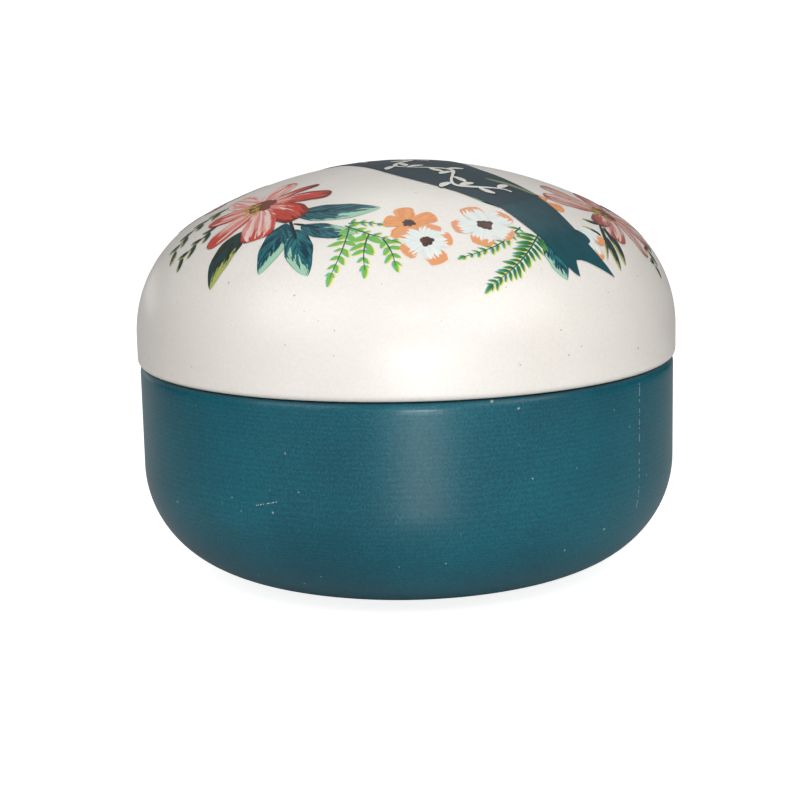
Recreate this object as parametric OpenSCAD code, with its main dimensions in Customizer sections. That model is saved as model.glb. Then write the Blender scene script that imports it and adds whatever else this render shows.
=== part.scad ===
// Round dusting powder tin: a domed slip lid over a drawn body, with a sifter tray,
// a turning shutter and a powder puff inside. Millimetres, +Z up.
// Origin: centre of the standing ring, on the surface that the tin stands on.

/* [Sheet metal] */
// Thickness of the tinplate
sheet_t = 0.25; // [0.2:0.01:0.4]
// Outer diameter of the lid
lid_d = 100; // [84:1:130]
// How far the body's side stands inside the lid's
side_step = 0.4; // [0:0.1:0.8]

/* [Lid] */
// Height of the lid from its rim to its crown
lid_h = 35.8; // [32:0.2:44]
// Height of the lid's straight side
lid_side_h = 5.4; // [4:0.2:7]
// Radius between the lid's side and its dome
lid_corner_r = 23.6; // [19:0.2:24]
// Outer radius of the rolled rim
rim_r = 1.2; // [0.8:0.1:1.6]
// Width of the rolled rim
rim_w = 2.1; // [1.9:0.1:2.6]
// Height of the rim's inner return
rim_return_h = 2; // [1.6:0.1:3]

/* [Body] */
// Height of the body from the ground to the ledge under the lid
body_h = 39.5; // [33:0.5:48]
// Radius between the side and the bottom
body_corner_r = 19.4; // [16:0.2:24]
// Turn of that corner, in degrees
corner_sweep = 71.5; // [66:0.5:76]
// Slope of the bottom where it meets the standing ring, in degrees from level
foot_slope = 10; // [6:0.5:13]
// Diameter of the standing ring
ring_d = 54.8; // [44:0.2:60]
// Width of the standing ring
ring_w = 1.2; // [1:0.1:2]
// How far the base panel is raised inside the ring
panel_rise = 0.8; // [0.4:0.1:1.2]
// Slope between the standing ring and the base panel, in degrees from level
panel_slope = 45; // [30:1:60]
// Radius of the shoulder under the lid
shoulder_r = 1.4; // [1:0.1:1.5]
// Height of the neck above the ledge
neck_h = 9; // [7:0.5:11]
// Outer radius of the rolled mouth
mouth_r = 0.9; // [0.7:0.1:1.1]
// Room between the neck and the lid's rim
neck_gap = 0.1; // [0.05:0.01:0.2]

/* [Sifter tray] */
// Thickness of the moulded tray
tray_t = 1; // [0.8:0.1:1.5]
// Depth of the tray below its flange
tray_depth = 7.5; // [6:0.5:9]
// Radius between the tray's wall and its floor
tray_corner_r = 2.4; // [1.6:0.2:3]
// Thickness of the gasket under the flange
gasket_t = 0.6; // [0.4:0.1:1]
// Room between the tray's wall and the mouth
tray_gap = 0.15; // [0.1:0.05:0.3]
// Diameter of the well that the shutter lies in
well_d = 48; // [40:1:57]
// Depth of that well
well_depth = 3.6; // [3.4:0.2:4.4]

/* [Shutter] */
// Thickness of the shutter disc
shutter_t = 1.2; // [0.8:0.1:1.4]
// Room between the shutter's edge and the well
shutter_gap = 0.4; // [0.2:0.1:0.6]
// Height of the finger bar above the disc
bar_h = 1.8; // [1.2:0.1:2]
// Width of the finger bar
bar_w = 2.6; // [2:0.2:3.4]
// Diameter of a sifting hole
hole_d = 2.6; // [1.6:0.1:2.8]
// Number of groups of sifting holes
groups = 6; // [5:1:7]
// Width of the stop lug on the well's wall
lug_w = 2; // [1.6:0.2:3]
// How far the stop lug stands into the well
lug_reach = 2; // [1.6:0.2:2.6]

/* [Rivet] */
// Diameter of the rivet's shank
rivet_d = 3; // [2.4:0.2:3.6]
// Diameter of the rivet's head
rivet_head_d = 6.4; // [5:0.2:7]
// Height of the rivet's head
rivet_head_h = 1.1; // [0.8:0.1:1.3]
// Room round the shank in the shutter and the tray
rivet_gap = 0.05; // [0.02:0.01:0.08]
// Diameter of the washer
washer_d = 8; // [6:0.2:10]
// Thickness of the washer
washer_t = 0.6; // [0.4:0.1:1]

/* [Powder puff] */
// Room round the puff in the tray
puff_gap = 5; // [4:0.5:8]
// Height of the puff without its ribbon
puff_h = 12; // [10:0.5:14]
// Thickness of the velour round the filling
pile_t = 3; // [2:0.5:4]
// Radius of the puff's lower edge
puff_edge_r = 4.5; // [3:0.5:5]
// Thickness of the satin back
back_t = 1; // [0.6:0.1:1.5]
// Room between the puff's layers
layer_gap = 0.1; // [0.05:0.05:0.2]
// Width of the ribbon
ribbon_w = 12; // [8:1:16]
// Thickness of the ribbon
ribbon_t = 0.7; // [0.4:0.1:1]
// Height of the ribbon's loop
loop_h = 10; // [8:0.5:13]
// Length of the ribbon's loop
loop_l = 44; // [36:1:52]
// Length of each sewn end of the ribbon
ribbon_end_l = 7; // [5:0.5:8]

/* [Hidden] */
$fn = 96;

// Where the lid's and the body's surfaces lie
lid_r = lid_d / 2;
body_r = lid_r - side_step;
rim_z = body_h;
neck_r = lid_r - rim_w - neck_gap;
mouth_z = body_h + neck_h;
mouth_inner_r = neck_r - 2 * mouth_r;

// The dome's radius, so that it runs smoothly out of the corner and ends at the crown
crown_rise = lid_h - lid_side_h;
corner_in = lid_r - lid_corner_r;
dome_r = (pow(corner_in, 2) + pow(crown_rise, 2) - pow(lid_corner_r, 2))
    / (2 * (crown_rise - lid_corner_r));
dome_z = rim_z + lid_h - dome_r;
lid_corner_z = rim_z + lid_side_h;
dome_turn = acos(corner_in / (dome_r - lid_corner_r));

// The bottom's long arc, so that it joins the corner to the standing ring
ring_r = ring_d / 2;
foot_turn = 90 - foot_slope;
foot_r = (body_r - ring_r - body_corner_r * (1 - cos(corner_sweep)))
    / (cos(corner_sweep) - cos(foot_turn));
body_corner_z = body_corner_r * sin(corner_sweep) + foot_r * (sin(foot_turn) - sin(corner_sweep));
body_corner = [body_r - body_corner_r, body_corner_z];
foot_centre = body_corner + (foot_r - body_corner_r) * [-cos(corner_sweep), sin(corner_sweep)];

// Heights and radii of the tray
flange_z = mouth_z + gasket_t;
flange_r = neck_r - neck_gap;
tray_r = mouth_inner_r - tray_gap;
tray_floor_z = flange_z + tray_t - tray_depth;
well_r = well_d / 2;
well_z = tray_floor_z - well_depth;
shutter_z = well_z + shutter_t;

// The sifting holes: rings of holes in each group, as [radius, angles from the group's middle]
group_turn = 360 / groups;
hole_rings = [[well_r * 0.38, [0]], [well_r * 0.58, [-7, 7]], [well_r * 0.78, [-7, 7]]];
// The shutter turns by half the spacing of the groups, from closed to open
shutter_turn = group_turn / 2;

// Sizes of the puff
puff_r = tray_r - tray_t - puff_gap;
puff_z = tray_floor_z;
core_r = puff_r - pile_t;
back_z = puff_z + puff_h - back_t;
core_z = puff_z + pile_t;

// A cut runs this far past the faces that it goes through
past = 1;
// A bulge's corners lie this share of its radius outside its chord
bulge_depth = 0.5;

// Point at an angle on a circle, with the angle measured down from level outwards
function below(c, r, a) = c + r * [cos(a), -sin(a)];
// The same, with the angle measured up
function above(c, r, a) = c + r * [cos(a), sin(a)];

// What a circle adds outside the chord from p to q
module bulge(c, r, p, q) {
    out = ((p + q) / 2 - c) / norm((p + q) / 2 - c) * r * bulge_depth;
    intersection() {
        translate(c) circle(r);
        polygon([p, q, q + out, p + out]);
    }
}

// Half section of the bowl below the ledge, drawn in from its outside by inset
module bowl_section(inset) {
    corner_start = [body_r - inset, body_corner_z];
    corner_end = below(body_corner, body_corner_r - inset, corner_sweep);
    foot_end = below(foot_centre, foot_r - inset, foot_turn);
    shoulder = [body_r - shoulder_r, body_h - shoulder_r];
    ledge = above(shoulder, shoulder_r - inset, 90);
    side_top = above(shoulder, shoulder_r - inset, 0);
    ring_inner = ring_r - ring_w + inset * tan(panel_slope / 2);
    polygon([
        [0, panel_rise + inset],
        [ring_inner - panel_rise / tan(panel_slope), panel_rise + inset],
        [ring_inner, inset],
        [foot_end[0], inset],
        foot_end,
        corner_end,
        corner_start,
        side_top,
        ledge,
        [0, ledge[1]]
    ]);
    bulge(foot_centre, foot_r - inset, foot_end, corner_end);
    bulge(body_corner, body_corner_r - inset, corner_end, corner_start);
    bulge(shoulder, shoulder_r - inset, side_top, ledge);
}

// Half section of a sheet edge rolled inward and left open at its lower outer quarter
module rolled_mouth() {
    translate([neck_r - mouth_r, mouth_z - mouth_r])
        difference() {
            circle(mouth_r);
            circle(mouth_r - sheet_t);
            translate([0, -2 * mouth_r]) square(2 * mouth_r);
        }
}

module body_shell() {
    color("#22606c")
        rotate_extrude() {
            difference() {
                union() {
                    bowl_section(0);
                    translate([0, body_h - shoulder_r]) square([neck_r, neck_h + shoulder_r - mouth_r]);
                }
                bowl_section(sheet_t);
                translate([0, body_h - shoulder_r]) square([neck_r - sheet_t, neck_h + shoulder_r]);
            }
            rolled_mouth();
        }
}

// Half section of the lid's inside or outside, drawn in by inset, from its straight side up
module dome_section(inset) {
    corner_c = [corner_in, lid_corner_z];
    dome_c = [0, dome_z];
    side_bottom = [lid_r - inset, rim_z + rim_r];
    corner_start = [lid_r - inset, lid_corner_z];
    corner_end = above(corner_c, lid_corner_r - inset, dome_turn);
    crown = [0, dome_z + dome_r - inset];
    polygon([[0, side_bottom[1]], side_bottom, corner_start, corner_end, crown]);
    bulge(corner_c, lid_corner_r - inset, corner_start, corner_end);
    bulge(dome_c, dome_r - inset, corner_end, crown);
}

// Half section of the rolled rim: out to the lid's side, under, and up inside
module rim_section(inset, top) {
    centre = [lid_r - rim_r, rim_z + rim_r];
    outer = [lid_r - inset, centre[1]];
    low = [centre[0], rim_z + inset];
    inner_x = lid_r - rim_w + inset;
    polygon([outer, [outer[0], top], [inner_x, top], [inner_x, low[1]], low]);
    bulge(centre, rim_r - inset, outer, low);
}

module lid_shell() {
    color("#efeae0")
        rotate_extrude() {
            difference() {
                dome_section(0);
                dome_section(sheet_t);
                square([lid_r - sheet_t, rim_z + lid_side_h / 2]);
            }
            difference() {
                rim_section(0, rim_z + rim_return_h);
                rim_section(sheet_t, rim_z + rim_return_h + past);
            }
        }
}

// A flat ring between two radii, from z up by t
module flat_ring(inner_r, outer_r, z, t) {
    rotate_extrude() translate([inner_r, z]) square([outer_r - inner_r, t]);
}

module tray_gasket() {
    color("#d9d4c8") flat_ring(mouth_inner_r + tray_gap, flange_r, mouth_z, gasket_t);
}

// Half section of the tray's dish, drawn in from its underside by inset
module dish_section(inset, top) {
    r = tray_r - inset;
    corner = [tray_r - tray_corner_r, tray_floor_z - tray_t + tray_corner_r];
    side = below(corner, tray_corner_r - inset, 0);
    low = below(corner, tray_corner_r - inset, 90);
    well = well_r + tray_t - inset;
    well_low = well_z - tray_t + inset;
    polygon([[0, well_low], [well, well_low], [well, low[1]], low, side, [r, top], [0, top]]);
    bulge(corner, tray_corner_r - inset, low, side);
}

// The sifting holes, as rods through z
module sift_holes(z, turn) {
    for (g = [0 : groups - 1], ring = hole_rings, a = ring[1])
        rotate(g * group_turn + turn + a)
            translate([ring[0], 0, z - past])
                cylinder(h = tray_t + shutter_t + 2 * past, d = hole_d);
}

// The hole that the rivet passes through
module rivet_hole(z) {
    translate([0, 0, z - past])
        cylinder(h = tray_t + shutter_t + 2 * past, r = rivet_d / 2 + rivet_gap);
}

module sifter_tray() {
    color("#f3efe6") {
        difference() {
            rotate_extrude() {
                difference() {
                    dish_section(0, flange_z + tray_t);
                    dish_section(tray_t, flange_z + tray_t + past);
                }
                translate([tray_r - tray_t, flange_z])
                    square([flange_r - tray_r + tray_t, tray_t]);
            }
            sift_holes(well_z - tray_t, 0);
            rivet_hole(well_z - tray_t);
        }
        stop_lug();
    }
}

// The lug on the well's wall that stops the shutter at each end of its turn
module stop_lug() {
    intersection() {
        translate([well_r - lug_reach, -lug_w / 2, well_z])
            cube([lug_reach + tray_t / 2, lug_w, shutter_t]);
        translate([0, 0, well_z]) cylinder(h = shutter_t, r = well_r);
    }
}

// The notch in the shutter's edge that the lug runs in
module stop_notch() {
    edge = well_r - lug_reach - shutter_gap;
    lug_turn = asin((lug_w / 2 + shutter_gap / 2) / edge);
    reach = 2 * well_r;
    difference() {
        linear_extrude(shutter_t + 2 * past)
            polygon([
                [0, 0],
                reach * [cos(lug_turn), sin(lug_turn)],
                reach * [cos(shutter_turn / 2), -sin(shutter_turn / 2)],
                reach * [cos(shutter_turn + lug_turn), -sin(shutter_turn + lug_turn)]
            ]);
        translate([0, 0, -past]) cylinder(h = shutter_t + 4 * past, r = edge);
    }
}

module sifter_shutter() {
    disc_r = well_r - shutter_gap;
    bar_l = well_r * 0.78;
    bar_start = rivet_head_d / 2 + shutter_gap;
    color("#e4d9c4") {
        difference() {
            translate([0, 0, well_z]) cylinder(h = shutter_t, r = disc_r);
            sift_holes(well_z, -shutter_turn);
            rivet_hole(well_z);
            translate([0, 0, well_z - past]) stop_notch();
        }
        for (side = [0, 180])
            rotate(side)
                translate([bar_start, -bar_w / 2, shutter_z])
                    cube([bar_l - bar_start, bar_w, bar_h]);
    }
}

module shutter_rivet() {
    shank_bottom = well_z - tray_t - washer_t;
    head_r = rivet_head_d / 2;
    cap_r = (pow(head_r, 2) + pow(rivet_head_h, 2)) / (2 * rivet_head_h);
    color("#c9a65a") {
        translate([0, 0, shank_bottom]) cylinder(h = shutter_z - shank_bottom, d = rivet_d);
        intersection() {
            translate([0, 0, shutter_z + rivet_head_h - cap_r]) sphere(cap_r);
            translate([0, 0, shutter_z]) cylinder(h = rivet_head_h, r = head_r);
        }
        translate([0, 0, shank_bottom - washer_t])
            cylinder(h = washer_t, d = rivet_d + 2 * washer_t);
    }
}

module rivet_washer() {
    color("#b9bcc0")
        flat_ring(rivet_d / 2 + rivet_gap, washer_d / 2, well_z - tray_t - washer_t, washer_t);
}

module puff_core() {
    color("#f4e6c8")
        translate([0, 0, core_z])
            cylinder(h = back_z - core_z - layer_gap, r = core_r - layer_gap);
}

module puff_face() {
    edge = [puff_r - puff_edge_r, puff_z + puff_edge_r];
    top = puff_z + puff_h;
    color("#f3c9c4")
        rotate_extrude()
            difference() {
                union() {
                    polygon([[0, puff_z], [edge[0], puff_z], [puff_r, edge[1]], [puff_r, top], [0, top]]);
                    bulge(edge, puff_edge_r, [edge[0], puff_z], [puff_r, edge[1]]);
                }
                translate([0, core_z]) square([core_r, puff_h]);
            }
}

module puff_back() {
    color("#f7dcd6")
        translate([0, 0, back_z]) cylinder(h = back_t, r = core_r - layer_gap);
}

// The ribbon seen from its edge: two flat ends and a half ellipse between them
module puff_ribbon() {
    steps = 16;
    half = loop_l / 2;
    reach = half + ribbon_end_l;
    rise = [for (i = [0 : steps]) 180 * i / steps];
    outer = [for (a = rise) [half * cos(a), ribbon_t + loop_h * sin(a)]];
    inner = [for (a = rise) [(ribbon_t - half) * cos(a), loop_h * sin(a)]];
    left_end = [[-reach, ribbon_t], [-reach, 0]];
    right_end = [[reach, 0], [reach, ribbon_t]];
    color("#d98d8b")
        translate([0, ribbon_w / 2, puff_z + puff_h])
            rotate([90, 0, 0])
                linear_extrude(ribbon_w)
                    polygon(concat(right_end, outer, left_end, inner));
}

body_shell();
lid_shell();
tray_gasket();
sifter_tray();
sifter_shutter();
shutter_rivet();
rivet_washer();
puff_core();
puff_face();
puff_back();
puff_ribbon();
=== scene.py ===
"""Round dusting powder tin: enamelled and printed shells, sifter tray and powder puff, over the CAD frame."""

import math

import bpy
import numpy as np
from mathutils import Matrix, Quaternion, Vector


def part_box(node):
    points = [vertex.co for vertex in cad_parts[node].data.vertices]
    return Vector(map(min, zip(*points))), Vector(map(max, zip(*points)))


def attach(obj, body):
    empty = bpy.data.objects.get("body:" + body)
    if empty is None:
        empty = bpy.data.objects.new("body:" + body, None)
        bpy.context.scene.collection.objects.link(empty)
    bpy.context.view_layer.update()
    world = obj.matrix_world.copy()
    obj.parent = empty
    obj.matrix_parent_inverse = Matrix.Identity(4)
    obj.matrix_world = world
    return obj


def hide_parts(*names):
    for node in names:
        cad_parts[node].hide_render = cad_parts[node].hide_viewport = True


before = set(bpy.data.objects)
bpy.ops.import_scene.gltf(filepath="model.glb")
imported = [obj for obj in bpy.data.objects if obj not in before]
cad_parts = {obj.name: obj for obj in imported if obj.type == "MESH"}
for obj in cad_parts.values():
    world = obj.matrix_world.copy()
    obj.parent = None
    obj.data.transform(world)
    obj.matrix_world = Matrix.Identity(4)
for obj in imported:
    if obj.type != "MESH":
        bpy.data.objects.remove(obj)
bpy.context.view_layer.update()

# The view, the table and the light.
# The tin stands on a white table and is seen from a little above its seam. Two small lamps
# stand in front, a screen on each side, two lamps behind, and a low dark card at each side.
MM = 0.001
rim_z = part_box("lid_shell")[0].z
seam = Vector((0, 0, rim_z))
camera_rise = math.radians(9.42)
camera_distance = 350 * MM
camera_aside = -1.4 * MM
camera_below = -8.9 * MM
camera_roll = math.radians(-1.23)
lens_mm = 83.8
table_half = 3.0
table_tone = 0.7
table_shine = 0.85
wall_light = 0.275
wall_seen = 1.1
card_tone = 0.02
card_half = 0.17
card_foot = 0.004
white = (1, 1, 1, 1)


def give(node, inputs):
    """Sets or links a node's inputs, each by its name or number."""
    for key, value in inputs.items():
        if isinstance(value, Value):
            node.id_data.links.new(value.socket, node.inputs[key])
        else:
            node.inputs[key].default_value = value


def put(tree, kind, inputs=None, **settings):
    """A new node of a tree, with its settings and its inputs."""
    node = tree.nodes.new(kind)
    for name, value in settings.items():
        setattr(node, name, value)
    give(node, inputs or {})
    return node


def out(tree, kind, inputs=None, output=0, **settings):
    """What a new node gives at one of its outputs."""
    return Value(put(tree, kind, inputs, **settings).outputs[output])


def reckoning(operation):
    """The Math node for an operation, to be used on a value and what follows it."""
    def reckoned(*values):
        return out(values[0].tree, "ShaderNodeMath", dict(enumerate(values)), operation=operation)
    return reckoned


class Value:
    """What a node gives. It is added, multiplied and compared like a number, by Math nodes."""
    __add__ = reckoning("ADD")
    __sub__ = reckoning("SUBTRACT")
    __mul__ = reckoning("MULTIPLY")
    __truediv__ = reckoning("DIVIDE")
    __mod__ = reckoning("MODULO")
    __pow__ = reckoning("POWER")
    __lt__ = reckoning("LESS_THAN")
    __gt__ = reckoning("GREATER_THAN")
    __abs__ = reckoning("ABSOLUTE")
    floor = reckoning("FLOOR")
    root = reckoning("SQRT")
    sine = reckoning("SINE")
    cosine = reckoning("COSINE")
    bearing = reckoning("ARCTAN2")

    def __init__(self, socket):
        self.socket = socket
        self.tree = socket.id_data


def finish_of(name, roughness=0.5, **sockets):
    """A new material and its shader, with what is the same all over it set."""
    material = bpy.data.materials.new(name)
    material.use_nodes = True
    shader = material.node_tree.nodes["Principled BSDF"]
    give(shader, {"Roughness": roughness})
    give(shader, {label.replace("_", " "): value for label, value in sockets.items()})
    return material, shader


def new_mesh(name, points, edges, faces):
    """A new mesh from its points and how they are joined."""
    mesh = bpy.data.meshes.new(name)
    mesh.from_pydata(points, edges, faces)
    return mesh


def piece(name, mesh):
    """A new object in the scene, with its place in its mesh."""
    made = bpy.data.objects.new(name, mesh)
    bpy.context.scene.collection.objects.link(made)
    return made


def board(name, corners, material):
    """A flat board by the tin that is no part of it."""
    made = piece(name, new_mesh(name, corners, [], [(0, 1, 2, 3)]))
    made.data.materials.append(material)
    return made


def lamp(name, bearing, rise, distance, width, height, power):
    """A soft lamp that faces the tin. bearing turns it from the front towards the right."""
    light = bpy.data.lights.new(name, "AREA")
    light.shape = "RECTANGLE"
    light.size = width
    light.size_y = height
    light.energy = power
    holder = piece(name, light)
    bearing = math.radians(bearing)
    rise = math.radians(rise)
    way = Vector((math.sin(bearing) * math.cos(rise), -math.cos(bearing) * math.cos(rise), math.sin(rise)))
    holder.location = seam + way * distance
    holder.rotation_mode = "QUATERNION"
    holder.rotation_quaternion = (-way).to_track_quat("-Z", "Y")


camera = piece("camera", bpy.data.cameras.new("camera"))
back = Vector((0, -math.cos(camera_rise), math.sin(camera_rise)))
upward = Vector((0, math.sin(camera_rise), math.cos(camera_rise)))
camera.location = seam + back * camera_distance
aim = seam + Vector((camera_aside, 0, 0)) + upward * camera_below
look = (aim - camera.location).to_track_quat("-Z", "Y")
camera.rotation_mode = "QUATERNION"
camera.rotation_quaternion = look @ Quaternion((0, 0, 1), camera_roll)
camera.data.lens = lens_mm
camera.data.clip_start = 0.01
bpy.context.scene.camera = camera
bpy.context.scene.view_settings.view_transform = "Standard"

table_white, table_shader = finish_of("table_white", 0.7, Base_Color=(table_tone, table_tone, table_tone, 1))
table_seen = out(table_white.node_tree, "ShaderNodeLightPath", output="Is Camera Ray")
give(table_shader, {"Emission Color": white, "Emission Strength": table_seen * table_shine})
board("table_top", [(x * table_half, y * table_half, 0) for x, y in ((-1, -1), (1, -1), (1, 1), (-1, 1))],
      table_white)

walls = bpy.data.worlds.new("white_walls")
walls.use_nodes = True
walls.node_tree.nodes.clear()
bpy.context.scene.world = walls
walls_met = {0: out(walls.node_tree, "ShaderNodeLightPath", output="Is Camera Ray")}
for number, strength in ((1, wall_light), (2, wall_seen)):
    walls_met[number] = out(walls.node_tree, "ShaderNodeBackground", {"Color": white, "Strength": strength})
wall_glow = out(walls.node_tree, "ShaderNodeMixShader", walls_met)
put(walls.node_tree, "ShaderNodeOutputWorld", {"Surface": wall_glow})

lamp("front_lamp", 4, 33, 0.6, 0.15, 0.09, 0.22)
lamp("low_lamp", 5, -1.5, 0.6, 0.16, 0.04, 1.05)
lamp("left_screen", -50, 34, 0.9, 0.6, 0.5, 2.2)
lamp("right_screen", 48, 34, 0.9, 0.6, 0.5, 2.6)
lamp("rim_lamp", -142, 4, 0.8, 0.3, 0.1, 0.08)
lamp("back_lamp", 170, 60, 0.9, 0.5, 0.5, 1.0)

card_black = finish_of("card_black", Base_Color=(card_tone, card_tone, card_tone, 1))[0]
for name, x, y, height in (("right_card", 0.24, 0.08, 0.13), ("left_card", -0.27, 0.02, 0.11)):
    along = Vector((-y, x, 0)).normalized() * card_half
    low_left, low_right = (Vector((x, y, card_foot)) + along * side for side in (-1, 1))
    upright = Vector((0, 0, height))
    corners = [low_left, low_right, low_right + upright, low_left + upright]
    board(name, [list(corner) for corner in corners], card_black).visible_camera = False

# The body shell.
# A bowl drawn from one disc of tinplate, with a shoulder under the lid, a neck inside it
# and a rolled mouth. Outside it has roller-coated teal enamel, inside a clear gold lacquer.
body_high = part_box("body_shell")[1]
body_r = body_high.x
mouth_z = body_high.z
sheet_t = 0.25 * MM
ring_r = 27.4 * MM
ring_w = 1.2 * MM
panel_rise = 0.8 * MM
body_corner_r = 19.4 * MM
corner_sweep = 71.5
foot_slope = 10
shoulder_r = 1.4 * MM
neck_r = 47.8 * MM
mouth_roll_r = 0.9 * MM
bend_r = 0.35 * MM
steps_round = 240
longest_step = 1.4 * MM


def arc(centre, radius, start, end, step=1.0 * MM):
    """Points along an arc, with angles in degrees from level outwards, turning upwards."""
    count = max(6, math.ceil(abs(math.radians(end - start)) * radius / step))
    angles = np.radians(np.linspace(start, end, count + 1))
    return [(centre[0] + radius * math.cos(a), centre[1] + radius * math.sin(a)) for a in angles]


def bent(corners, radius):
    """The path through corners, with each corner but the ends bent round to a small radius."""
    path = [np.array(corners[0])]
    for before, at, after in zip(corners, corners[1:], corners[2:]):
        at = np.array(at)
        back_way = np.array(before) - at
        on_way = np.array(after) - at
        back_reach = min(radius, np.linalg.norm(back_way) / 2)
        on_reach = min(radius, np.linalg.norm(on_way) / 2)
        start = at + back_way / np.linalg.norm(back_way) * back_reach
        end = at + on_way / np.linalg.norm(on_way) * on_reach
        for share in np.linspace(0, 1, 5):
            path.append((1 - share) ** 2 * start + 2 * share * (1 - share) * at + share ** 2 * end)
    path.append(np.array(corners[-1]))
    return [tuple(p) for p in path]


def evened(path, longest):
    """The path with its long straight runs divided, and points that coincide left out."""
    found = [path[0]]
    for point in path[1:]:
        start = np.array(found[-1])
        run = np.array(point) - start
        length = np.linalg.norm(run)
        if length < 1e-6:
            continue
        count = math.ceil(length / longest)
        found += [tuple(start + run * i / count) for i in range(1, count + 1)]
    return found


def beside(path, distance):
    """The path moved to its left by a distance, as the other face of a sheet."""
    points = np.array(path)
    runs = np.diff(points, axis=0)
    runs /= np.linalg.norm(runs, axis=1)[:, None]
    left = np.stack([-runs[:, 1], runs[:, 0]], 1)
    before = np.vstack([left[:1], left])
    after = np.vstack([left, left[-1:]])
    middle = before + after
    middle /= (middle * before).sum(1)[:, None]
    moved = points + middle * distance
    moved[np.abs(points[:, 0]) < 1e-7, 0] = 0
    return [tuple(p) for p in moved]


def then(geometry, kind, inputs=None, **settings):
    """What the next Geometry node makes of a geometry."""
    return out(geometry.tree, "GeometryNode" + kind, {"Geometry": geometry, **(inputs or {})}, **settings)


def geometry_tree(name, **inputs):
    """A new Geometry Nodes tree, and what its geometry input and its other named inputs give."""
    tree = bpy.data.node_groups.new(name, "GeometryNodeTree")
    for label, kind in {"Geometry": "Geometry", **inputs}.items():
        tree.interface.new_socket(label, in_out="INPUT", socket_type="NodeSocket" + kind)
    tree.interface.new_socket("Geometry", in_out="OUTPUT", socket_type="NodeSocketGeometry")
    return tree, {socket.name: Value(socket) for socket in put(tree, "NodeGroupInput").outputs}


def made_by(tree, name, mesh, **inputs):
    """The plain piece that a tree makes from a mesh, with no modifier left on it."""
    made = piece(name, mesh)
    modifier = made.modifiers.new(tree.name, "NODES")
    modifier.node_group = tree
    for socket in tree.interface.items_tree:
        if socket.in_out == "INPUT" and socket.name in inputs:
            modifier[socket.identifier] = inputs[socket.name]
    depsgraph = bpy.context.evaluated_depsgraph_get()
    shown = made.evaluated_get(depsgraph)
    plain = bpy.data.meshes.new_from_object(shown, preserve_all_data_layers=True, depsgraph=depsgraph)
    made.modifiers.clear()
    made.data = plain
    return made


def vector(*parts):
    """A vector of up to three values or numbers."""
    tree = next(part.tree for part in parts if isinstance(part, Value))
    return out(tree, "ShaderNodeCombineXYZ", dict(enumerate(parts)))


def parts_of(value):
    """The three parts of a vector."""
    return [Value(socket) for socket in put(value.tree, "ShaderNodeSeparateXYZ", {0: value}).outputs]


def named(tree, name):
    """The attribute with a name."""
    return out(tree, "GeometryNodeInputNamedAttribute", {"Name": name}, data_type="FLOAT")


def turned_tree():
    """Turns a half section, drawn from axis to axis, into a closed round piece."""
    tree, given = geometry_tree("turned_round", Steps="Int", Face="Material", Lining="Material")
    section = given["Geometry"]
    rows = out(tree, "GeometryNodeAttributeDomainSize", {"Geometry": section}, "Point Count")
    grid = out(tree, "GeometryNodeMeshGrid", {"Vertices X": given["Steps"] + 1, "Vertices Y": rows}, "Mesh")
    index = out(tree, "GeometryNodeInputIndex")
    turn = (index / rows).floor() / given["Steps"] * math.tau
    here = out(tree, "GeometryNodeInputPosition")
    inner = named(tree, "lining")
    outline, lining = (then(section, "SampleIndex", {"Value": value, "Index": index % rows}, data_type=kind)
                       for value, kind in ((here, "FLOAT_VECTOR"), (inner, "FLOAT")))
    reach, _, level = parts_of(outline)
    place = vector(reach * turn.sine(), reach * turn.cosine() * -1.0, level)
    skin = then(grid, "StoreNamedAttribute", {"Name": "lining", "Value": lining},
                data_type="FLOAT", domain="POINT")
    skin = then(skin, "SetPosition", {"Position": place})
    skin = then(skin, "MergeByDistance", {"Distance": 1e-6})
    skin = then(skin, "SetShadeSmooth")
    skin = then(skin, "SetMaterial", {"Material": given["Face"]})
    is_inner = out(tree, "FunctionNodeCompare", {0: inner, 1: 0.6}, data_type="FLOAT")
    skin = then(skin, "SetMaterial", {"Selection": is_inner, "Material": given["Lining"]})
    put(tree, "NodeGroupOutput", {"Geometry": then(skin, "RealizeInstances")})
    return tree


def mark(mesh, name, values):
    """Gives each point of a mesh a value under a name."""
    mesh.attributes.new(name, "FLOAT", "POINT").data.foreach_set("value", values)


def section_mesh(name, face, lining):
    """A half section as a line of points. The points of the second path are marked as lining."""
    points = [(r, 0, z) for r, z in face + lining]
    mesh = new_mesh(name, points, [(i, i + 1) for i in range(len(points) - 1)], [])
    mark(mesh, "lining", [0.0] * len(face) + [1.0] * len(lining))
    return mesh


def object_place(shader):
    """The Object coordinates of a point, in metres."""
    return out(shader.id_data, "ShaderNodeTexCoord", output="Object")


def noise(place, scale, detail=2.0, roughness=0.5):
    """Cloudy noise from 0 to 1."""
    inputs = {"Vector": place, "Scale": scale, "Detail": detail, "Roughness": roughness}
    return out(place.tree, "ShaderNodeTexNoise", inputs, "Fac")


def stretched(place, *scale):
    """A place with its three parts multiplied."""
    return out(place.tree, "ShaderNodeMapping", {"Vector": place, "Scale": scale})


def rise(value, start, end, low=0.0, high=1.0):
    """low up to start, high from end, and a smooth way between them."""
    inputs = {"Value": value, "From Min": start, "From Max": end, "To Min": low, "To Max": high}
    return out(value.tree, "ShaderNodeMapRange", inputs, "Result", interpolation_type="SMOOTHSTEP")


def mixed(share, first, second):
    """The first colour, with a share of the second."""
    return out(share.tree, "ShaderNodeMix", {0: share, 6: first, 7: second}, 2, data_type="RGBA")


def bumped(shader, height, distance):
    """Raises a shader's surface by a height from 0 to 1 times a distance."""
    give(shader, {"Normal": out(shader.id_data, "ShaderNodeBump", {"Height": height, "Distance": distance})})


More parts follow.
